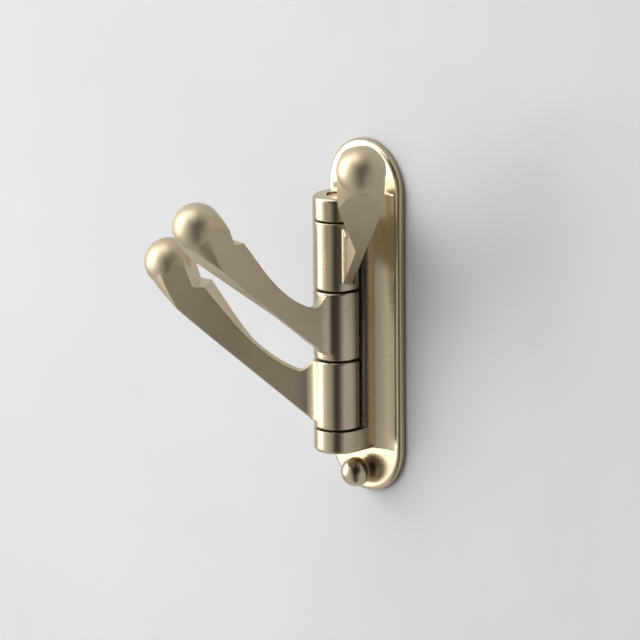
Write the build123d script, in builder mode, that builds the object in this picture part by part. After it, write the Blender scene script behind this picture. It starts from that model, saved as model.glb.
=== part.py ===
from build123d import *
import os
from math import cos, radians, sin, sqrt, tan

os.makedirs("parts", exist_ok=True)

# Sizes of the back plate
plate_height = 114.6
plate_width = 32.3
plate_thickness = 2.6
plate_edge_round = 1.4

# Pin and the stack of three arms on it
pin_ahead_of_plate = 11.47
pin_radius = 2.0
pin_head_radius = 2.9
pin_head_height = 0.7
turning_clearance = 0.05
fixed_clearance = 0.02
arm_count = 3
barrel_radius = 7.6
barrel_height = 21.9
barrel_edge_round = 0.5
stack_gap = 0.7
washer_inset = 2.0
washer_side_clearance = 0.05

# Column and its two knuckles, one casting with the plate
knuckle_height = 7.3
knuckle_edge_round = 1.3
pocket_clearance = 1.35
column_land = 0.2
pin_recess_radius = 3.4
pin_recess_depth = 1.1
cove_from_edge_round = 0.55
cove_rise = 2.5
cove_edge_angle = 8.0

# Arm, measured from the pin's axis and from the barrel's lower end
arm_reach = 54.8
ball_rise = 50.3
ball_radius = 7.75
ball_proud_of_blade = 0.3
blade_thickness = 3.0
blade_root_side = 1.9
blade_end_side = 4.0
flare_middle_edge = 7.0
ball_side = 0.5
blade_left_fillet = 5.0
blade_right_fillet = 1.1
underside_root_rise = 2.2
profile_root_inset = 0.4
underside_root_angle = 38.4
underside_tip_angle = 40.2
crown_root_ahead = 4.9
crown_root_drop = 3.7
crown_root_angle = 20.0
crown_lip_angle = 50.0
lip_behind_ball = 13.2
lip_below_ball = 5.9
saddle_length = 3.4
flare_length = 28.3
left_flank_angle = 3.0
right_flank_angle = 19.0
neck_angle = 45.0
neck_flare = 9.0
neck_inset = 0.2
neck_reach = 17.0
notch_top_inset = 0.3
notch_foot_round = 1.1

# Angle of each arm from the wall's normal, seen from above
top_arm_angle = 54.3
middle_arm_angle = -5.9
lower_arm_angle = -57.4

# Cap nuts and the bolts behind them
nut_from_plate_end = 6.9
nut_ball_radius = 4.8
nut_ball_ahead = 3.8
nut_neck_radius = 4.1
nut_thread_depth = 5.2
bolt_radius = 2.0
screw_radius = 2.2
bolt_hole_clearance = 0.3
bolt_length_behind = 25.0
bolt_point_length = 4.0

# Places that follow from the sizes
plate_front = -plate_thickness
pin_y = -(plate_thickness + pin_ahead_of_plate)
cove_front = plate_front - cove_rise
cove_foot = plate_width / 2 - plate_edge_round - cove_from_edge_round
pitch = barrel_height + stack_gap
stack_height = arm_count * pitch + stack_gap
column_height = stack_height + 2 * knuckle_height
stack_bottom = -stack_height / 2
lower_arm_z = stack_bottom + stack_gap
middle_arm_z = lower_arm_z + pitch
top_arm_z = middle_arm_z + pitch
pocket_radius = barrel_radius + pocket_clearance
column_front = pin_y + sqrt(pocket_radius**2 - (barrel_radius - column_land) ** 2)
pin_bore_radius = pin_radius + fixed_clearance
recess_floor = column_height / 2 - pin_recess_depth
washer_radius = barrel_radius - washer_inset
washer_thickness = stack_gap - 2 * washer_side_clearance
nut_z = plate_height / 2 - nut_from_plate_end

# Back plate, column and knuckles
with BuildPart() as wall_bracket:
    with BuildSketch(Plane.XY.offset(-column_height / 2)):
        with Locations((0, pin_y)):
            Circle(barrel_radius)
        with Locations((0, (pin_y + plate_front) / 2)):
            Rectangle(2 * barrel_radius, plate_front - pin_y)
    extrude(amount=column_height)
    fillet(
        wall_bracket.edges().group_by(Axis.Z)[0] + wall_bracket.edges().group_by(Axis.Z)[-1],
        knuckle_edge_round,
    )
    with BuildSketch(Plane.XY.offset(stack_bottom)):
        with Locations((0, pin_y)):
            Circle(pocket_radius)
        with Locations((0, column_front)):
            Rectangle(3 * barrel_radius, 3 * barrel_radius, align=(Align.CENTER, Align.MAX))
    extrude(amount=stack_height, mode=Mode.SUBTRACT)
    with BuildSketch(Plane.XY.offset(-column_height / 2)) as cove:
        with BuildLine():
            TangentArc((cove_foot, plate_front), (barrel_radius, cove_front),
                       tangent=(-cos(radians(cove_edge_angle)), -sin(radians(cove_edge_angle))))
            Line((barrel_radius, cove_front), (0, cove_front))
            Line((0, cove_front), (0, plate_front))
            Line((0, plate_front), (cove_foot, plate_front))
        make_face()
        mirror(about=Plane.YZ)
    extrude(amount=column_height)
    with BuildSketch(Plane.XZ):
        SlotOverall(plate_height, plate_width, rotation=90)
    extrude(amount=plate_thickness)
    plate_rim = wall_bracket.edges().filter_by_position(
        Axis.Y, plate_front - 0.01, plate_front + 0.01
    )
    fillet(plate_rim.filter_by(lambda e: abs(e.center().X) > cove_foot + 0.1 or
                               abs(e.center().Z) > column_height / 2 + 0.1), plate_edge_round)
    with Locations((0, pin_y, 0)):
        Cylinder(pin_bore_radius, column_height, mode=Mode.SUBTRACT)
    for end in (-1, 1):
        with Locations((0, pin_y, end * (column_height / 2 - pin_recess_depth / 2))):
            Cylinder(pin_recess_radius, pin_recess_depth, mode=Mode.SUBTRACT)
    with BuildSketch(Plane.XZ):
        with Locations((0, -nut_z), (0, nut_z)):
            Circle(bolt_radius + bolt_hole_clearance)
    extrude(amount=plate_thickness, mode=Mode.SUBTRACT)

# Pin with a headed end in each recess
with BuildPart() as pivot_pin:
    with Locations((0, pin_y, 0)):
        Cylinder(pin_radius, 2 * recess_floor)
    for end in (-1, 1):
        with Locations((0, pin_y, end * (recess_floor + pin_head_height / 2))):
            Cylinder(pin_head_radius, pin_head_height)
    fillet(pivot_pin.edges().group_by(Axis.Z)[0] + pivot_pin.edges().group_by(Axis.Z)[-1],
           0.6 * pin_head_height)

# One arm, with its barrel on the origin and its blade along X
ball_x = arm_reach
tip_radius = ball_radius - ball_proud_of_blade
tip_x = ball_x + tip_radius * sin(radians(underside_tip_angle))
tip_z = ball_rise - tip_radius * cos(radians(underside_tip_angle))
root_x = barrel_radius - profile_root_inset
crown_x = barrel_radius + crown_root_ahead
crown_z = barrel_height - crown_root_drop
lip_x = ball_x - lip_behind_ball
lip_z = ball_rise - lip_below_ball
saddle_x = lip_x + saddle_length
notch_top = ball_radius - notch_top_inset
wall_x = ball_x - notch_top * sin(radians(neck_angle))
wall_z = ball_rise + notch_top * cos(radians(neck_angle))
neck_radius = ball_radius - neck_inset
neck_foot = ball_radius * sin(radians(neck_flare))
neck_length = 2.2 * neck_reach + neck_foot
left_angle = radians(left_flank_angle)
right_angle = radians(right_flank_angle)
left_flank = (ball_x - tip_radius * sin(left_angle), ball_side + tip_radius * cos(left_angle))
right_flank = (ball_x - tip_radius * sin(right_angle), ball_side - tip_radius * cos(right_angle))
half_blade = blade_thickness / 2
flare_x = ball_x - flare_length
middle_x = (flare_x + ball_x) / 2

# Outline that rounds the blade into the ball: a neck along the arm, and all of the arm's root
with BuildPart() as neck_form:
    neck_end = Plane(
        origin=(
            ball_x + neck_foot * cos(radians(neck_angle)),
            ball_side,
            ball_rise + neck_foot * sin(radians(neck_angle)),
        ),
        x_dir=(0, 1, 0),
        z_dir=(-cos(radians(neck_angle)), 0, -sin(radians(neck_angle))),
    )
    with Locations(neck_end):
        Cone(
            neck_radius - neck_foot * tan(radians(neck_flare)),
            neck_radius + (neck_length - neck_foot) * tan(radians(neck_flare)),
            neck_length,
            align=(Align.CENTER, Align.CENTER, Align.MIN),
        )
    with Locations((ball_x - neck_reach, 0, 0)):
        Box(2 * ball_x, 4 * barrel_radius, 2 * ball_rise,
            align=(Align.MAX, Align.CENTER, Align.CENTER))

with BuildPart() as arm_form:
    with BuildSketch(Plane.XZ):
        with BuildLine():
            Line((0, underside_root_rise), (root_x, underside_root_rise))
            Spline(
                (root_x, underside_root_rise), (tip_x, tip_z),
                tangents=[
                    (cos(radians(underside_root_angle)), sin(radians(underside_root_angle))),
                    (cos(radians(underside_tip_angle)), sin(radians(underside_tip_angle))),
                ],
            )
            Line((tip_x, tip_z), (ball_x, ball_rise))
            Line((ball_x, ball_rise), (wall_x, wall_z))
            Line((wall_x, wall_z), (saddle_x + notch_foot_round * 0.8, lip_z + notch_foot_round))
            Spline(
                (saddle_x + notch_foot_round * 0.8, lip_z + notch_foot_round), (saddle_x, lip_z),
                tangents=[(-0.4, -1), (-1, 0)],
            )
            Line((saddle_x, lip_z), (lip_x, lip_z))
            Spline(
                (lip_x, lip_z), (crown_x, crown_z),
                tangents=[
                    (-cos(radians(crown_lip_angle)), -sin(radians(crown_lip_angle))),
                    (-cos(radians(crown_root_angle)), -sin(radians(crown_root_angle))),
                ],
            )
            Spline(
                (crown_x, crown_z), (root_x, barrel_height - barrel_edge_round),
                tangents=[
                    (-cos(radians(crown_root_angle)), -sin(radians(crown_root_angle))),
                    (-1, 1.2),
                ],
            )
            Line((root_x, barrel_height - barrel_edge_round),
                 (0, barrel_height - barrel_edge_round))
            Line((0, barrel_height - barrel_edge_round), (0, underside_root_rise))
        make_face()
    extrude(amount=2 * barrel_radius, both=True)
    with BuildSketch(Plane.XY) as blade_plan:
        with BuildLine():
            Line((0, blade_root_side - half_blade), (0, blade_root_side + half_blade))
            Line((0, blade_root_side + half_blade), (flare_x, blade_end_side + half_blade))
            Spline(
                (flare_x, blade_end_side + half_blade),
                (middle_x, flare_middle_edge),
                left_flank,
                tangents=[(1, 0.08), (cos(left_angle), sin(left_angle))],
            )
            ThreePointArc(left_flank, (ball_x + tip_radius, ball_side), right_flank)
            Line(right_flank, (flare_x, blade_end_side - half_blade))
            Line((flare_x, blade_end_side - half_blade), (0, blade_root_side - half_blade))
        make_face()
        Circle(barrel_radius)
        fillet(blade_plan.vertices().filter_by_position(Axis.X, barrel_radius / 2,
                                                        barrel_radius - 0.001).sort_by(Axis.Y)[0],
               blade_right_fillet)
        fillet(blade_plan.vertices().filter_by_position(Axis.X, barrel_radius / 2,
                                                        barrel_radius - 0.001).sort_by(Axis.Y)[-1],
               blade_left_fillet)
    extrude(amount=ball_rise + ball_radius, both=True, mode=Mode.INTERSECT)
    add(neck_form.part, mode=Mode.INTERSECT)
    with BuildSketch(Plane.XZ) as barrel_half:
        with Locations((0, barrel_height / 2)):
            Rectangle(barrel_radius, barrel_height, align=(Align.MIN, Align.CENTER))
        fillet(barrel_half.vertices().group_by(Axis.X)[-1], barrel_edge_round)
    revolve(axis=Axis.Z)
    with Locations((ball_x, ball_side, ball_rise)):
        Sphere(ball_radius)
    with Locations((0, 0, barrel_height / 2)):
        Cylinder(pin_radius + turning_clearance, barrel_height, mode=Mode.SUBTRACT)

# The same casting in its three places
with BuildPart() as top_arm:
    with Locations(Location((0, pin_y, top_arm_z), (0, 0, top_arm_angle - 90))):
        add(arm_form.part)

with BuildPart() as middle_arm:
    with Locations(Location((0, pin_y, middle_arm_z), (0, 0, middle_arm_angle - 90))):
        add(arm_form.part)

with BuildPart() as lower_arm:
    with Locations(Location((0, pin_y, lower_arm_z), (0, 0, lower_arm_angle - 90))):
        add(arm_form.part)

# Thin washer in each gap of the stack
with BuildPart() as washer_form:
    Cylinder(washer_radius, washer_thickness)
    Cylinder(pin_radius + turning_clearance, washer_thickness, mode=Mode.SUBTRACT)

with BuildPart() as bottom_washer:
    with Locations((0, pin_y, stack_bottom + stack_gap / 2)):
        add(washer_form.part)

with BuildPart() as lower_washer:
    with Locations((0, pin_y, stack_bottom + stack_gap / 2 + pitch)):
        add(washer_form.part)

with BuildPart() as upper_washer:
    with Locations((0, pin_y, stack_bottom + stack_gap / 2 + 2 * pitch)):
        add(washer_form.part)

with BuildPart() as top_washer:
    with Locations((0, pin_y, stack_bottom + stack_gap / 2 + 3 * pitch)):
        add(washer_form.part)

# Ball-ended cap nut, with its axis along Z and its seat on the origin
with BuildPart() as nut_form:
    with BuildSketch():
        Circle(nut_neck_radius)
    extrude(amount=nut_ball_ahead)
    with Locations((0, 0, nut_ball_ahead)):
        Sphere(nut_ball_radius)
    with BuildSketch():
        Circle(bolt_radius + fixed_clearance)
    extrude(amount=nut_thread_depth, mode=Mode.SUBTRACT)
    split(bisect_by=Plane.XY, keep=Keep.TOP)

with BuildPart() as lower_cap_nut:
    with Locations(Location((0, plate_front, -nut_z), (90, 0, 0))):
        add(nut_form.part)

with BuildPart() as upper_cap_nut:
    with Locations(Location((0, plate_front, nut_z), (90, 0, 0))):
        add(nut_form.part)

# Hanger bolt: a machine end in the nut and a thicker wood screw in the wall
with BuildPart() as bolt_form:
    with BuildSketch():
        Circle(bolt_radius)
    extrude(amount=plate_thickness + nut_thread_depth)
    with BuildSketch():
        Circle(screw_radius)
    extrude(amount=-(bolt_length_behind - bolt_point_length))
    with Locations((0, 0, -(bolt_length_behind - bolt_point_length))):
        Cone(0.2 * screw_radius, screw_radius, bolt_point_length,
             align=(Align.CENTER, Align.CENTER, Align.MAX))

with BuildPart() as lower_hanger_bolt:
    with Locations(Location((0, 0, -nut_z), (90, 0, 0))):
        add(bolt_form.part)

with BuildPart() as upper_hanger_bolt:
    with Locations(Location((0, 0, nut_z), (90, 0, 0))):
        add(bolt_form.part)

wall_bracket.part.label = "wall_bracket"
export_step(wall_bracket.part, "parts/wall_bracket.step")
pivot_pin.part.label = "pivot_pin"
export_step(pivot_pin.part, "parts/pivot_pin.step")
top_arm.part.label = "top_arm"
export_step(top_arm.part, "parts/top_arm.step")
middle_arm.part.label = "middle_arm"
export_step(middle_arm.part, "parts/middle_arm.step")
lower_arm.part.label = "lower_arm"
export_step(lower_arm.part, "parts/lower_arm.step")
bottom_washer.part.label = "bottom_washer"
export_step(bottom_washer.part, "parts/bottom_washer.step")
lower_washer.part.label = "lower_washer"
export_step(lower_washer.part, "parts/lower_washer.step")
upper_washer.part.label = "upper_washer"
export_step(upper_washer.part, "parts/upper_washer.step")
top_washer.part.label = "top_washer"
export_step(top_washer.part, "parts/top_washer.step")
lower_cap_nut.part.label = "lower_cap_nut"
export_step(lower_cap_nut.part, "parts/lower_cap_nut.step")
upper_cap_nut.part.label = "upper_cap_nut"
export_step(upper_cap_nut.part, "parts/upper_cap_nut.step")
lower_hanger_bolt.part.label = "lower_hanger_bolt"
export_step(lower_hanger_bolt.part, "parts/lower_hanger_bolt.step")
upper_hanger_bolt.part.label = "upper_hanger_bolt"
export_step(upper_hanger_bolt.part, "parts/upper_hanger_bolt.step")
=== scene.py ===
"""Visual model of a swivel wall hook.

It dresses the cast brass bracket, the three swinging arms and the ball-ended nuts, and gives the hanger
bolts their threads.
"""

import logging
import math
from dataclasses import dataclass
from enum import Enum

import bmesh
import bpy
from mathutils import Matrix, Vector


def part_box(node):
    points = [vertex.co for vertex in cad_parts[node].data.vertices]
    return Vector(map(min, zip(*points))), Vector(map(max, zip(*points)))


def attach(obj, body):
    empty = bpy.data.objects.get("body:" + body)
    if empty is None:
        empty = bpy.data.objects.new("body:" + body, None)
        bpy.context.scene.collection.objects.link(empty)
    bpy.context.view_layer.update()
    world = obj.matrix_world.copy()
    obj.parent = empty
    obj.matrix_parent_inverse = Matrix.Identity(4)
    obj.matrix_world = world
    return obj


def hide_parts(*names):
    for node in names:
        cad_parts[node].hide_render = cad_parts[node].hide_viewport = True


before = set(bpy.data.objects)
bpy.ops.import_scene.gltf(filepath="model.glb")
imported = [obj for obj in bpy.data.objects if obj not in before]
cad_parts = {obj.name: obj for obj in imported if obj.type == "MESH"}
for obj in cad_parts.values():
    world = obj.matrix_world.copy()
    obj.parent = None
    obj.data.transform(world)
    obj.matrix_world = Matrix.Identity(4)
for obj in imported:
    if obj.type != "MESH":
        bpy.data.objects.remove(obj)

LOG = logging.getLogger("swivel_hook")
MM = 0.001

Colour = tuple[float, float, float]
Triple = tuple[float, float, float]


@dataclass(frozen=True)
class MetalFinish:
    """How one metal surface looks.

    Args:
        name: the material's name.
        base: colour of the rubbed metal.
        shade: colour of the darker lacquer that stays in the tone patches.
        shade_share: how much of the darker colour the patches reach.
        roughness: middle roughness.
        roughness_span: how far the brushing moves the roughness.
        brush_turn: turn of the brushing lines, as Euler angles in degrees.
        brush_depth: bump depth of the brushing lines in metres.
        grain_depth: bump depth of the casting's fine unevenness in metres.
        edge_radius: radius of the softened edges in metres.
        pit_share: share of the surface with casting pits.
        lacquer: weight of the clear lacquer over the metal.
        blade_satin: roughness added away from the pin, where an arm's blade is buffed by hand.
        pocket_shade: share of painted shade that darkens the narrow pocket behind the barrels, where it
            lies in shadow.
    """

    name: str
    base: Colour
    shade: Colour
    shade_share: float
    roughness: float
    roughness_span: float
    brush_turn: Triple
    brush_depth: float
    grain_depth: float
    edge_radius: float
    pit_share: float = 0.0
    lacquer: float = 0.0
    blade_satin: float = 0.0
    pocket_shade: float = 0.0


@dataclass(frozen=True)
class Thread:
    """Sizes of a screw thread in metres.

    Args:
        core_radius: radius at the thread's root.
        crest_radius: radius at its crest.
        pitch: distance from crest to crest.
        start: where the thread begins behind the plate's back.
        taper: length of the pointed end.
    """

    core_radius: float
    crest_radius: float
    pitch: float
    start: float = 0.0
    taper: float = 0.0


class NodeTree:
    """A thin layer over a node tree: adds nodes and links in one line each."""

    STEP_ACROSS = 190.0

    def __init__(self, tree: bpy.types.NodeTree) -> None:
        """Keeps the tree and empties it."""
        self.tree = tree
        tree.nodes.clear()
        self.column = 0

    def add(self, kind: str, inputs: dict | None = None, **settings) -> bpy.types.Node:
        """Adds a node.

        Args:
            kind: the node's type name.
            inputs: values or output sockets by input name or number.
            **settings: attributes to set on the node before its inputs.

        Returns:
            The new node.
        """
        node = self.tree.nodes.new(kind)
        node.location = (self.column * self.STEP_ACROSS, 0.0)
        self.column += 1
        for key, value in settings.items():
            setattr(node, key, value)
        for key, value in (inputs or {}).items():
            socket = node.inputs[key]
            if isinstance(value, bpy.types.NodeSocket):
                self.tree.links.new(value, socket)
            else:
                socket.default_value = value
        return node

    def maths(self, operation: str, *values, clamp: bool = False) -> bpy.types.NodeSocket:
        """Adds a Math node.

        Args:
            operation: the Math node's operation.
            *values: its values or sockets, one to three.
            clamp: whether to hold the result between 0 and 1.

        Returns:
            The result's socket.
        """
        node = self.add("ShaderNodeMath", dict(enumerate(values)), operation=operation, use_clamp=clamp)
        return node.outputs[0]

    def spread(self, value: bpy.types.NodeSocket, low: float, high: float, start: float = 0.0,
               end: float = 1.0, kind: str = "LINEAR") -> bpy.types.NodeSocket:
        """Adds a Map Range node.

        Args:
            value: the socket to map.
            low: its value that gives start.
            high: its value that gives end.
            start: the result at low.
            end: the result at high.
            kind: the node's interpolation type.

        Returns:
            The result's socket.
        """
        node = self.add("ShaderNodeMapRange", {"Value": value, 1: low, 2: high, 3: start, 4: end},
                        interpolation_type=kind)
        return node.outputs[0]

    def noise(self, vector: bpy.types.NodeSocket, scale: float, detail: float,
              roughness: float = 0.5) -> bpy.types.NodeSocket:
        """Adds a Noise Texture node.

        Args:
            vector: the place's socket.
            scale: the noise's scale.
            detail: its detail.
            roughness: its roughness.

        Returns:
            The factor's socket.
        """
        node = self.add("ShaderNodeTexNoise", {"Vector": vector, "Scale": scale, "Detail": detail,
                                               "Roughness": roughness})
        return node.outputs["Fac"]

    def drawn_noise(self, vector: bpy.types.NodeSocket, stretch: Triple, detail: float,
                    roughness: float) -> bpy.types.NodeSocket:
        """Adds noise that is drawn out along one axis.

        Args:
            vector: the place's socket.
            stretch: scale of the place along each axis.
            detail: the noise's detail.
            roughness: the noise's roughness.

        Returns:
            The factor's socket.
        """
        place = self.add("ShaderNodeMapping", {"Vector": vector, "Scale": stretch})
        return self.noise(place.outputs[0], 1.0, detail, roughness)

    def bump(self, height: bpy.types.NodeSocket, depth: float, normal: bpy.types.NodeSocket | None = None,
             strength: float = 1.0, invert: bool = False) -> bpy.types.NodeSocket:
        """Adds a Bump node.

        Args:
            height: the height's socket.
            depth: the bump's depth in metres.
            normal: the normal that it starts from, or None for the surface's own.
            strength: the bump's strength.
            invert: whether high means sunk.

        Returns:
            The normal's socket.
        """
        node = self.add("ShaderNodeBump", {"Height": height, "Strength": strength, "Distance": depth},
                        invert=invert)
        if normal is not None:
            self.tree.links.new(normal, node.inputs["Normal"])
        return node.outputs[0]

    def ramp(self, fac: bpy.types.NodeSocket, stops: list[tuple[float, Colour]]) -> bpy.types.NodeSocket:
        """Adds a colour ramp.

        Args:
            fac: the socket that drives it.
            stops: position and colour of each stop, two or more.

        Returns:
            The colour's socket.
        """
        node = self.add("ShaderNodeValToRGB", {0: fac})
        elements = node.color_ramp.elements
        while len(elements) < len(stops):
            elements.new(0.5)
        for element, (place, colour) in zip(elements, stops):
            element.position = place
            element.color = (*colour, 1.0)
        return node.outputs["Color"]

    def effect(self, group: bpy.types.NodeTree, place: bpy.types.NodeSocket, **values) -> bpy.types.Node:
        """Places a shared effect.

        Args:
            group: the effect's node group.
            place: the socket for its Vector input.
            **values: its other inputs' values.

        Returns:
            The group's node.
        """
        return self.add("ShaderNodeGroup", {"Vector": place, **values}, node_tree=group)


def new_group(name: str, outputs: tuple[str, ...], values: dict[str, float] | None = None
              ) -> tuple[bpy.types.NodeTree, NodeTree, bpy.types.Node]:
    """Starts a shader node group with a Vector input.

    Args:
        name: the group's name.
        outputs: the names of its outputs, each a number that changes over the surface.
        values: default value by name of its further inputs.

    Returns:
        The group, its writer and its input node.
    """
    group = bpy.data.node_groups.new(name, "ShaderNodeTree")
    writer = NodeTree(group)
    group.interface.new_socket("Vector", in_out="INPUT", socket_type="NodeSocketVector")
    for label, default in (values or {}).items():
        socket = group.interface.new_socket(label, in_out="INPUT", socket_type="NodeSocketFloat")
        socket.default_value = default
    for label in outputs:
        group.interface.new_socket(label, in_out="OUTPUT", socket_type="NodeSocketFloat")
    return group, writer, writer.add("NodeGroupInput")


@dataclass
class Effects:
    """The shader node groups that the finishes share, each built once.

    Args:
        pin_y: place of the pin's axis in front of the wall, in metres.
        blade_zone: distances from the pin between which the barrel's finish turns to the blade's.
        pocket_shade_zone: distances from the pin between which the painted shade in the pocket fades.
        knuckle_level: height of the knuckles' inner faces above and below the middle.
    """

    pin_y: float = -14.07 * MM
    blade_zone: tuple[float, float] = (8.0 * MM, 14.0 * MM)
    pocket_shade_zone: tuple[float, float] = (9.2 * MM, 10.0 * MM)
    knuckle_level: float = 34.2 * MM

    PATCH_SCALE = 55.0
    PATCH_EDGES = (0.38, 0.68)
    GRAIN_SCALE = 420.0
    LINE_STRETCH = (3200.0, 3200.0, 60.0)
    STREAK_STRETCH = (600.0, 600.0, 22.0)
    PIT_CELLS = 130.0
    PIT_EDGES = (0.085, 0.04)

    def __post_init__(self) -> None:
        """Builds every group."""
        self.tone = self._tone()
        self.brushing = self._brushing()
        self.pits = self._pits()
        self.about_pin = self._about_pin()

    def _tone(self) -> bpy.types.NodeTree:
        """Builds the slow patches of darker lacquer and the casting's fine unevenness.

        Returns:
            The group, with the outputs Patches and Grain.
        """
        group, w, given = new_group("lacquer_tone", ("Patches", "Grain"))
        place = given.outputs["Vector"]
        slow = w.noise(place, self.PATCH_SCALE, 4.0, 0.55)
        fine = w.noise(place, self.GRAIN_SCALE, 3.0)
        patches = w.spread(slow, *self.PATCH_EDGES)
        w.add("NodeGroupOutput", {"Patches": patches, "Grain": fine})
        return group

    def _brushing(self) -> bpy.types.NodeTree:
        """Builds fine brushing lines and broader streaks along them.

        Returns:
            The group, with the outputs Lines and Streaks.
        """
        group, w, given = new_group("brushing", ("Lines", "Streaks"))
        place = given.outputs["Vector"]
        lines = w.drawn_noise(place, self.LINE_STRETCH, 3.0, 0.6)
        streaks = w.drawn_noise(place, self.STREAK_STRETCH, 2.0, 0.5)
        w.add("NodeGroupOutput", {"Lines": lines, "Streaks": streaks})
        return group

    def _pits(self) -> bpy.types.NodeTree:
        """Builds rare small casting pits.

        Returns:
            The group, with the output Pits, 1 in a pit and 0 elsewhere.
        """
        group, w, given = new_group("casting_pits", ("Pits",), {"Share": 0.1})
        cells = w.add("ShaderNodeTexVoronoi", {"Vector": given.outputs["Vector"],
                                               "Scale": self.PIT_CELLS}, feature="F1")
        near = w.spread(cells.outputs["Distance"], *self.PIT_EDGES)
        chosen = w.add("ShaderNodeSeparateColor", {"Color": cells.outputs["Color"]})
        rare = w.maths("LESS_THAN", chosen.outputs[0], given.outputs["Share"])
        w.add("NodeGroupOutput", {"Pits": w.maths("MULTIPLY", near, rare)})
        return group

    def _about_pin(self) -> bpy.types.NodeTree:
        """Builds masks by the distance from the pin's axis and the height between the knuckles. The Pocket
        mask places painted shade in the recess behind the barrels.

        Returns:
            The group, with the outputs Blade and Pocket.
        """
        group, w, given = new_group("about_pin", ("Blade", "PocketShade"))
        parts = w.add("ShaderNodeSeparateXYZ", {"Vector": given.outputs["Vector"]})
        ahead = w.maths("SUBTRACT", parts.outputs["Y"], self.pin_y)
        squares = w.maths("ADD", w.maths("POWER", parts.outputs["X"], 2.0), w.maths("POWER", ahead, 2.0))
        away = w.maths("SQRT", squares)
        blade = w.spread(away, *self.blade_zone)
        # Painted shade: darkest near the pin, inside the pocket behind the barrels.
        shade_near_pin = w.spread(away, *self.pocket_shade_zone, 1.0, 0.0)
        level = w.maths("ABSOLUTE", parts.outputs["Z"])
        between = w.maths("LESS_THAN", level, self.knuckle_level)
        w.add("NodeGroupOutput", {"Blade": blade, "PocketShade": w.maths("MULTIPLY", shade_near_pin, between)})
        return group


class Finish(Enum):
    """The metals' finishes."""

    # The bracket carries the full painted shade in the pocket behind its barrels.
    BRACKET = MetalFinish(
        name="antique_brass", base=(0.55, 0.46, 0.315), shade=(0.40, 0.325, 0.215), shade_share=0.5,
        roughness=0.26, roughness_span=0.06, brush_turn=(0.0, 0.0, 0.0), brush_depth=0.0010 * MM,
        grain_depth=0.0012 * MM, edge_radius=0.5 * MM, pit_share=0.02, lacquer=0.3, pocket_shade=1.0)
    ARM = MetalFinish(
        name="antique_brass_arm", base=(0.55, 0.46, 0.315), shade=(0.40, 0.325, 0.215), shade_share=0.5,
        roughness=0.26, roughness_span=0.06, brush_turn=(38.0, 0.0, 0.0), brush_depth=0.0010 * MM,
        grain_depth=0.0012 * MM, edge_radius=0.7 * MM, pit_share=0.015, lacquer=0.3, blade_satin=0.22)
    NUT = MetalFinish(
        name="antique_brass_nut", base=(0.55, 0.455, 0.305), shade=(0.40, 0.32, 0.21), shade_share=0.5,
        roughness=0.25, roughness_span=0.05, brush_turn=(90.0, 0.0, 0.0), brush_depth=0.0010 * MM,
        grain_depth=0.0012 * MM, edge_radius=0.3 * MM, pit_share=0.01, lacquer=0.3)
    PIN = MetalFinish(
        name="coppery_pin", base=(0.50, 0.30, 0.18), shade=(0.30, 0.17, 0.09), shade_share=0.6,
        roughness=0.36, roughness_span=0.08, brush_turn=(90.0, 0.0, 0.0), brush_depth=0.003 * MM,
        grain_depth=0.006 * MM, edge_radius=0.2 * MM)
    STEEL = MetalFinish(
        name="zinc_steel", base=(0.56, 0.56, 0.55), shade=(0.38, 0.37, 0.35), shade_share=0.6,
        roughness=0.34, roughness_span=0.10, brush_turn=(90.0, 0.0, 0.0), brush_depth=0.003 * MM,
        grain_depth=0.010 * MM, edge_radius=0.1 * MM)


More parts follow.
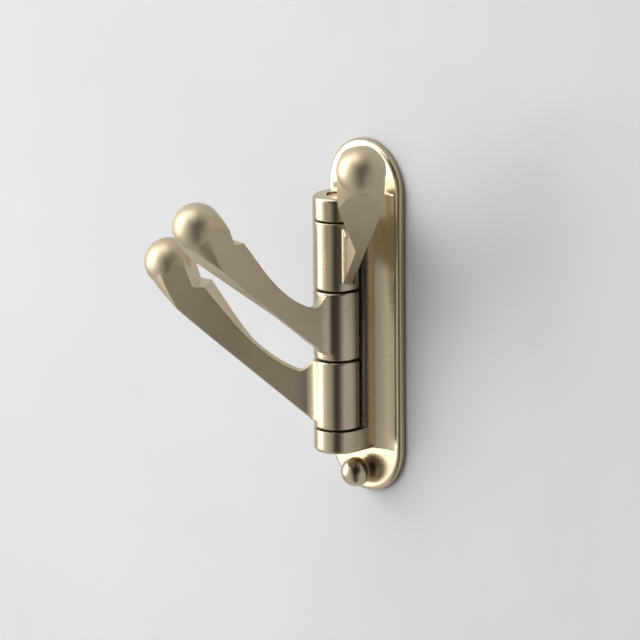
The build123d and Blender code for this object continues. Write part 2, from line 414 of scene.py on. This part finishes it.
class MaterialShop:
    """Makes the materials, one for each finish."""

    RUBBED_SHARE = 0.6
    STREAK_SWING = 0.30
    PIT_AND_SHADE_TONE = 0.22
    PIT_DEPTH = 0.15 * MM
    LINE_EDGES = (0.3, 0.7)
    EDGE_SAMPLES = 6
    LACQUER_ROUGHNESS = 0.22
    LACQUER_IOR = 1.5
    WORN_PLASTIC = 1.9
    PLASTIC_ROUGHNESS = 0.6
    PLASTIC_GRAIN = 0.03 * MM

    def __init__(self, effects: Effects) -> None:
        """Keeps the shared effects."""
        self.effects = effects

    @staticmethod
    def _start(name: str) -> tuple[bpy.types.Material, NodeTree, bpy.types.NodeSocket]:
        """Starts a material.

        Args:
            name: the material's name.

        Returns:
            The material, its writer and the socket of the Object coordinates.
        """
        material = bpy.data.materials.new(name)
        material.use_nodes = True
        w = NodeTree(material.node_tree)
        return material, w, w.add("ShaderNodeTexCoord").outputs["Object"]

    def metal(self, finish: MetalFinish) -> bpy.types.Material:
        """Builds a satin metal with brushing lines, tone patches, pits, softened edges and painted shade
        in the pocket behind the barrels.

        Args:
            finish: the finish to build.

        Returns:
            The material.
        """
        material, w, place = self._start(finish.name)
        turn = w.add("ShaderNodeMapping", {
            "Vector": place, "Rotation": tuple(math.radians(angle) for angle in finish.brush_turn)})
        tone = w.effect(self.effects.tone, place)
        brush = w.effect(self.effects.brushing, turn.outputs[0])
        pits = w.effect(self.effects.pits, place, Share=finish.pit_share)
        about = w.effect(self.effects.about_pin, place)

        rubbed = w.maths("MULTIPLY", about.outputs["Blade"], self.RUBBED_SHARE)
        patch = w.maths("MULTIPLY", w.maths("MULTIPLY", tone.outputs["Patches"], finish.shade_share),
                        w.maths("SUBTRACT", 1.0, rubbed))
        streak = w.maths("MULTIPLY_ADD", brush.outputs["Streaks"], self.STREAK_SWING,
                         -self.STREAK_SWING / 2)
        body = w.ramp(w.maths("ADD", patch, streak, clamp=True), [(0.0, finish.base), (1.0, finish.shade)])
        # The pits and the painted shade in the pocket behind the barrels share this dark colour.
        dark = tuple(part * self.PIT_AND_SHADE_TONE for part in finish.shade)
        pocket_shade_mask = w.maths("MULTIPLY", about.outputs["PocketShade"], finish.pocket_shade)
        pits_and_shade = w.maths("MAXIMUM", pits.outputs["Pits"], pocket_shade_mask)
        colour = w.add("ShaderNodeMix", {"Factor": pits_and_shade, "A": body, "B": (*dark, 1.0)}, data_type="RGBA")

        brushed = w.spread(brush.outputs["Lines"], *self.LINE_EDGES,
                           finish.roughness - finish.roughness_span / 2,
                           finish.roughness + finish.roughness_span / 2)
        satin = w.maths("MULTIPLY", about.outputs["Blade"], finish.blade_satin)
        rough = w.maths("ADD", brushed, satin)

        soft = w.add("ShaderNodeBevel", {"Radius": finish.edge_radius},
                     samples=self.EDGE_SAMPLES).outputs[0]
        grain = w.bump(tone.outputs["Grain"], finish.grain_depth, soft)
        lines = w.bump(brush.outputs["Lines"], finish.brush_depth, grain)
        sunk = w.bump(pits.outputs["Pits"], self.PIT_DEPTH, lines, invert=True)
        shader = w.add("ShaderNodeBsdfPrincipled", {
            "Base Color": colour.outputs[2], "Metallic": 1.0, "Roughness": rough,
            "Coat Weight": finish.lacquer, "Coat Roughness": self.LACQUER_ROUGHNESS,
            "Coat IOR": self.LACQUER_IOR, "Normal": sunk, "Coat Normal": soft})
        w.add("ShaderNodeOutputMaterial", {"Surface": shader.outputs[0]})
        return material

    def plastic(self, name: str, base: Colour) -> bpy.types.Material:
        """Builds a dull dark plastic with a fine moulded grain.

        Args:
            name: the material's name.
            base: the plastic's colour.

        Returns:
            The material.
        """
        material, w, place = self._start(name)
        tone = w.effect(self.effects.tone, place)
        worn = tuple(min(1.0, part * self.WORN_PLASTIC) for part in base)
        colour = w.ramp(tone.outputs["Patches"], [(0.0, base), (1.0, worn)])
        grain = w.bump(tone.outputs["Grain"], self.PLASTIC_GRAIN)
        shader = w.add("ShaderNodeBsdfPrincipled", {
            "Base Color": colour, "Roughness": self.PLASTIC_ROUGHNESS, "Normal": grain})
        w.add("ShaderNodeOutputMaterial", {"Surface": shader.outputs[0]})
        return material


def give(obj: bpy.types.Object, material: bpy.types.Material) -> None:
    """Puts one material in every slot of an object.

    Args:
        obj: the object.
        material: the material.
    """
    if not obj.material_slots:
        obj.data.materials.append(material)
    for place in obj.material_slots:
        place.material = material


def add_object(name: str, data: bpy.types.ID) -> bpy.types.Object:
    """Links a new object into the scene.

    Args:
        name: the object's name.
        data: its mesh, lamp or camera.

    Returns:
        The object.
    """
    obj = bpy.data.objects.new(name, data)
    bpy.context.scene.collection.objects.link(obj)
    return obj


@dataclass
class Castings:
    """The bracket, arms, nuts, pin and washers, which keep their CAD shape.

    Args:
        shop: where the materials are made.
        washer_tone: the washers' colour.
    """

    shop: MaterialShop
    washer_tone: Colour = (0.018, 0.017, 0.016)

    METALS = {
        Finish.BRACKET: ("wall_bracket",),
        Finish.ARM: ("top_arm", "middle_arm", "lower_arm"),
        Finish.NUT: ("upper_cap_nut", "lower_cap_nut"),
        Finish.PIN: ("pivot_pin",),
    }
    WASHERS = ("bottom_washer", "lower_washer", "upper_washer", "top_washer")

    def build(self) -> None:
        """Gives each CAD node its finish."""
        for finish, names in self.METALS.items():
            self._dress(names, self.shop.metal(finish.value))
        self._dress(self.WASHERS, self.shop.plastic("washer_plastic", self.washer_tone))

    @staticmethod
    def _dress(names: tuple[str, ...], material: bpy.types.Material) -> None:
        """Gives some CAD nodes one material.

        Args:
            names: the nodes' names.
            material: the material.
        """
        for name in names:
            give(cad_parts[name], material)
            LOG.info("%s has the finish %s", name, material.name)


@dataclass
class HangerBolt:
    """A hanger bolt with its threads, in place of the plain CAD bolt.

    Args:
        node: the CAD node that it replaces.
        steel: its material.
        point_length: length of the screw point.
        machine_less: how much thinner than the wood-screw end the machine end is.
        wood_pitch: pitch of the wood-screw thread.
        wood_start: where the wood-screw thread begins behind the plate's back.
        machine_pitch: pitch of the machine thread.
    """

    node: str
    steel: bpy.types.Material
    point_length: float = 4.0 * MM
    machine_less: float = 0.2 * MM
    wood_pitch: float = 1.9 * MM
    wood_start: float = 5.5 * MM
    machine_pitch: float = 0.7 * MM

    SIDES = 40
    STEPS_PER_TURN = 14
    WOOD_CORE = 0.72
    MACHINE_CORE = 0.86
    TIP_CORE = 0.12
    WOOD_SHARPNESS = 3.4
    WOOD_FADE = 1.4
    MACHINE_SHARPNESS = 2.0
    MACHINE_FLAT = 1.3

    def build(self) -> bpy.types.Object:
        """Builds the bolt along the node's own axis.

        Returns:
            The new object.
        """
        low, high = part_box(self.node)
        axis_x, axis_z = (low[0] + high[0]) / 2, (low[2] + high[2]) / 2
        radius = (high[0] - low[0]) / 2
        length = high[1] - low[1]
        machine_radius = radius - self.machine_less
        wood = Thread(radius * self.WOOD_CORE, radius, self.wood_pitch, self.wood_start, self.point_length)
        machine = Thread(machine_radius * self.MACHINE_CORE, machine_radius, self.machine_pitch)
        front = -low[1]
        mesh = bmesh.new()
        rings = []
        steps = int(length / (wood.pitch / self.STEPS_PER_TURN))
        for i in range(steps + 1):
            along = length * i / steps
            ring = []
            for j in range(self.SIDES):
                angle = 2 * math.pi * j / self.SIDES
                reach = self._radius(along - front, angle, length - front, wood, machine)
                ring.append(mesh.verts.new((axis_x + reach * math.cos(angle), low[1] + along,
                                            axis_z + reach * math.sin(angle))))
            rings.append(ring)
        for one, two in zip(rings, rings[1:]):
            for j in range(self.SIDES):
                k = (j + 1) % self.SIDES
                mesh.faces.new((one[j], one[k], two[k], two[j]))
        mesh.faces.new(rings[0])
        mesh.faces.new(rings[-1])
        bmesh.ops.recalc_face_normals(mesh, faces=mesh.faces)
        for face in mesh.faces:
            face.smooth = len(face.verts) == 4
        data = bpy.data.meshes.new(f"{self.node}_threaded")
        mesh.to_mesh(data)
        mesh.free()
        bolt = add_object(data.name, data)
        give(bolt, self.steel)
        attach(bolt, "bracket")
        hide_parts(self.node)
        LOG.info("%s has %d faces", bolt.name, len(data.polygons))
        return bolt

    @staticmethod
    def _ridge(behind: float, angle: float, thread: Thread, sharpness: float) -> float:
        """Gives the height of a thread's flank at one place.

        Args:
            behind: distance behind the plate's back, negative in front of it.
            angle: angle round the bolt.
            thread: the thread.
            sharpness: how narrow the ridge is, from 2 for flanks that meet.

        Returns:
            The height, from 0 at the core to 1 at the crest.
        """
        turn = (behind / thread.pitch - angle / (2 * math.pi)) % 1.0
        return max(0.0, 1.0 - abs(turn - 0.5) * sharpness)

    def _radius(self, behind: float, angle: float, end: float, wood: Thread, machine: Thread) -> float:
        """Gives the bolt's surface radius at one place.

        Args:
            behind: distance behind the plate's back, negative in front of it.
            angle: angle round the bolt.
            end: distance of the point's tip behind the plate's back.
            wood: the wood-screw thread.
            machine: the machine thread in front.

        Returns:
            The radius in metres.
        """
        if behind < 0:
            ridge = self._ridge(behind, angle, machine, self.MACHINE_SHARPNESS)
            depth = machine.crest_radius - machine.core_radius
            return machine.core_radius + depth * min(1.0, ridge * self.MACHINE_FLAT)
        if behind < wood.start:
            return wood.crest_radius
        shrink = min(1.0, max(0.0, end - behind) / wood.taper)
        core = wood.core_radius * (self.TIP_CORE + (1.0 - self.TIP_CORE) * shrink)
        grown = min(1.0, (behind - wood.start) / wood.pitch)
        depth = wood.crest_radius - wood.core_radius
        ridge = self._ridge(behind, angle, wood, self.WOOD_SHARPNESS)
        crest = depth * ridge * min(1.0, shrink * self.WOOD_FADE)
        return core + depth * (1 - grown) * shrink + crest * grown


@dataclass(frozen=True)
class Lamp:
    """A soft rectangular lamp that faces the hook.

    Args:
        name: its name.
        place: its position in metres.
        size: its width and height in metres.
        power: its power in watts.
    """

    name: str
    place: Triple
    size: tuple[float, float]
    power: float

    def build(self) -> None:
        """Adds the lamp."""
        data = bpy.data.lights.new(self.name, "AREA")
        data.shape = "RECTANGLE"
        data.size, data.size_y = self.size
        data.energy = self.power
        lamp = add_object(self.name, data)
        lamp.location = self.place
        lamp.rotation_euler = (-Vector(self.place)).to_track_quat("-Z", "Y").to_euler()


@dataclass
class Studio:
    """The pale wall, the soft lamps and the pale room.

    Args:
        wall_colour: the wall's paint.
        wall_reach: half the wall's width and height in metres.
        wall_gap: distance of the wall behind the plate's back in metres.
        background: the colour that the camera sees past the wall.
        around: azimuth from the wall's normal towards +X in degrees and brightness there.
        floor_share: how bright the room is towards the floor.
        ceiling_share: how bright the room is towards the ceiling.
        rise_edges: the directions' heights between which the one turns to the other.
        dark_centre: azimuth and elevation of the room's dark upper part, behind the camera.
        dark_reach: angles from its centre at which the dark part starts to fade and ends.
        dark_share: brightness left in the dark part.
        lamps: the lamps.
    """

    wall_colour: Colour = (0.64, 0.64, 0.645)
    wall_reach: float = 2.6
    wall_gap: float = 0.2 * MM
    background: Colour = (0.76, 0.76, 0.765)
    around: tuple[tuple[float, float], ...] = (
        (-180.0, 0.4), (-95.0, 0.4), (-60.0, 0.8), (-18.0, 0.98), (0.0, 0.60), (20.0, 0.46),
        (31.0, 0.06), (46.0, 0.04), (60.0, 0.20), (80.0, 0.72), (110.0, 0.72), (180.0, 0.4))
    floor_share: float = 0.9
    ceiling_share: float = 1.3
    rise_edges: tuple[float, float] = (-0.9, 0.7)
    dark_centre: tuple[float, float] = (50.0, 34.0)
    dark_reach: tuple[float, float] = (28.0, 56.0)
    dark_share: float = 0.12
    lamps: tuple[Lamp, ...] = (
        Lamp("window_left", (-0.86, -0.82, 0.30), (0.85, 1.5), 15.0),
        Lamp("ceiling_soft", (-0.15, -0.55, 1.25), (1.2, 0.7), 5.0))

    UNEVEN_PAINT = 0.93
    UNEVEN_EDGES = (0.3, 0.7)
    PAINT_SCALE = 7.0
    PLASTER_SCALE = 45.0
    PLASTER_DEPTH = 0.6 * MM
    PLASTER_STRENGTH = 0.5
    PAINT_ROUGHNESS = 0.8
    PAINT_GLOSS = 0.2

    def build(self) -> None:
        """Builds the wall, the lamps and the world."""
        self._wall()
        for lamp in self.lamps:
            lamp.build()
        self._world()

    def _wall(self) -> None:
        """Builds the painted wall that the plate lies on, clear from behind."""
        mesh = bmesh.new()
        bmesh.ops.create_grid(mesh, x_segments=1, y_segments=1, size=self.wall_reach,
                              matrix=Matrix.Rotation(math.radians(90), 4, "X"))
        data = bpy.data.meshes.new("wall")
        mesh.to_mesh(data)
        mesh.free()
        wall = add_object("wall", data)
        wall.location = (0.0, self.wall_gap, 0.0)
        material = bpy.data.materials.new("painted_wall")
        material.use_nodes = True
        w = NodeTree(material.node_tree)
        place = w.add("ShaderNodeTexCoord").outputs["Object"]
        dark = tuple(part * self.UNEVEN_PAINT for part in self.wall_colour)
        low, high = self.UNEVEN_EDGES
        colour = w.ramp(w.noise(place, self.PAINT_SCALE, 5.0), [(low, dark), (high, self.wall_colour)])
        plaster = w.bump(w.noise(place, self.PLASTER_SCALE, 4.0), self.PLASTER_DEPTH,
                         strength=self.PLASTER_STRENGTH)
        paint = w.add("ShaderNodeBsdfPrincipled", {
            "Base Color": colour, "Roughness": self.PAINT_ROUGHNESS,
            "Specular IOR Level": self.PAINT_GLOSS, "Normal": plaster})
        clear = w.add("ShaderNodeBsdfTransparent")
        facing = w.add("ShaderNodeNewGeometry").outputs["Backfacing"]
        sides = w.add("ShaderNodeMixShader", {0: facing, 1: paint.outputs[0], 2: clear.outputs[0]})
        w.add("ShaderNodeOutputMaterial", {"Surface": sides.outputs[0]})
        give(wall, material)

    @staticmethod
    def _share(azimuth: float) -> float:
        """Turns an azimuth in degrees into its place on a ramp that goes once round the room."""
        return (azimuth + 180.0) / 360.0

    def _dimmed(self, w: NodeTree, direction: bpy.types.NodeSocket) -> bpy.types.NodeSocket:
        """Builds the brightness share of the room's dark upper part.

        Args:
            w: the world's writer.
            direction: the socket of the direction looked in.

        Returns:
            The share's socket, dark_share in the dark part and 1 elsewhere.
        """
        turned, raised = (math.radians(angle) for angle in self.dark_centre)
        centre = (math.sin(turned) * math.cos(raised), -math.cos(turned) * math.cos(raised),
                  math.sin(raised))
        towards = w.add("ShaderNodeVectorMath", {0: direction, 1: centre}, operation="DOT_PRODUCT")
        fade_in, fade_out = (math.cos(math.radians(angle)) for angle in self.dark_reach)
        return w.spread(towards.outputs["Value"], fade_out, fade_in, 1.0, self.dark_share, "SMOOTHSTEP")

    def _world(self) -> None:
        """Sets a pale background for the camera, and a room with a dark corner for the rest."""
        world = bpy.data.worlds.new("studio")
        bpy.context.scene.world = world
        world.use_nodes = True
        w = NodeTree(world.node_tree)
        path = w.add("ShaderNodeLightPath")
        direction = w.add("ShaderNodeTexCoord").outputs["Generated"]
        parts = w.add("ShaderNodeSeparateXYZ", {"Vector": direction})
        turn = w.maths("ARCTAN2", parts.outputs["X"], w.maths("MULTIPLY", parts.outputs["Y"], -1.0))
        around = w.ramp(w.spread(turn, -math.pi, math.pi),
                        [(self._share(azimuth), (level, level, level)) for azimuth, level in self.around])
        rise = w.spread(parts.outputs["Z"], *self.rise_edges, self.floor_share, self.ceiling_share,
                        "SMOOTHSTEP")
        strength = w.maths("MULTIPLY", w.maths("MULTIPLY", around, rise), self._dimmed(w, direction))
        fill = w.add("ShaderNodeBackground", {"Color": (1.0, 1.0, 1.0, 1.0), "Strength": strength})
        pale = w.add("ShaderNodeBackground", {"Color": (*self.background, 1.0), "Strength": 1.0})
        mix = w.add("ShaderNodeMixShader", {0: path.outputs["Is Camera Ray"], 1: fill.outputs[0],
                                            2: pale.outputs[0]})
        w.add("ShaderNodeOutputWorld", {"Surface": mix.outputs[0]})


@dataclass(frozen=True)
class Shot:
    """The photograph's view.

    Args:
        azimuth: angle from the wall's normal towards +X in degrees.
        elevation: angle above the horizon in degrees.
        roll: turn of the picture in degrees.
        distance: distance of the camera from the origin's plane in metres.
        scale: pixels to the metre at the origin.
        aim: where the picture's middle lies, right and up from the origin, in metres.
        frame_width: width of the picture in pixels.
        sensor_width: width of the camera's sensor in millimetres.
        clipping: nearest and farthest distance seen, in metres.
    """

    azimuth: float = 46.96
    elevation: float = 14.57
    roll: float = -0.40
    distance: float = 2.5
    scale: float = 3159.0
    aim: tuple[float, float] = (-0.01569, -0.00186)
    frame_width: float = 640.0
    sensor_width: float = 36.0
    clipping: tuple[float, float] = (0.05, 20.0)

    def build(self) -> None:
        """Adds the camera and makes it the scene's camera."""
        a, e, r = (math.radians(angle) for angle in (self.azimuth, self.elevation, self.roll))
        back = Vector((math.sin(a) * math.cos(e), -math.cos(a) * math.cos(e), math.sin(e)))
        right = Vector((math.cos(a), math.sin(a), 0.0))
        up = back.cross(right)
        across = right * math.cos(r) + up * math.sin(r)
        above = up * math.cos(r) - right * math.sin(r)
        data = bpy.data.cameras.new("camera")
        data.sensor_width = self.sensor_width
        data.lens = self.scale * self.distance / self.frame_width * self.sensor_width
        data.clip_start, data.clip_end = self.clipping
        camera = add_object("camera", data)
        camera.matrix_world = Matrix.Translation(
            back * self.distance + across * self.aim[0] + above * self.aim[1]
        ) @ Matrix((across, above, back)).transposed().to_4x4()
        bpy.context.scene.camera = camera


def main() -> None:
    """Builds the hook's looks, the studio and the camera in order."""
    logging.basicConfig(level=logging.INFO, format="%(name)s: %(message)s")
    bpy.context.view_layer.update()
    shop = MaterialShop(Effects())
    Castings(shop).build()
    steel = shop.metal(Finish.STEEL.value)
    for node in ("upper_hanger_bolt", "lower_hanger_bolt"):
        HangerBolt(node, steel).build()
    Studio().build()
    Shot().build()
    bpy.context.scene.view_settings.view_transform = "Standard"


if __name__ == "__main__":
    main()
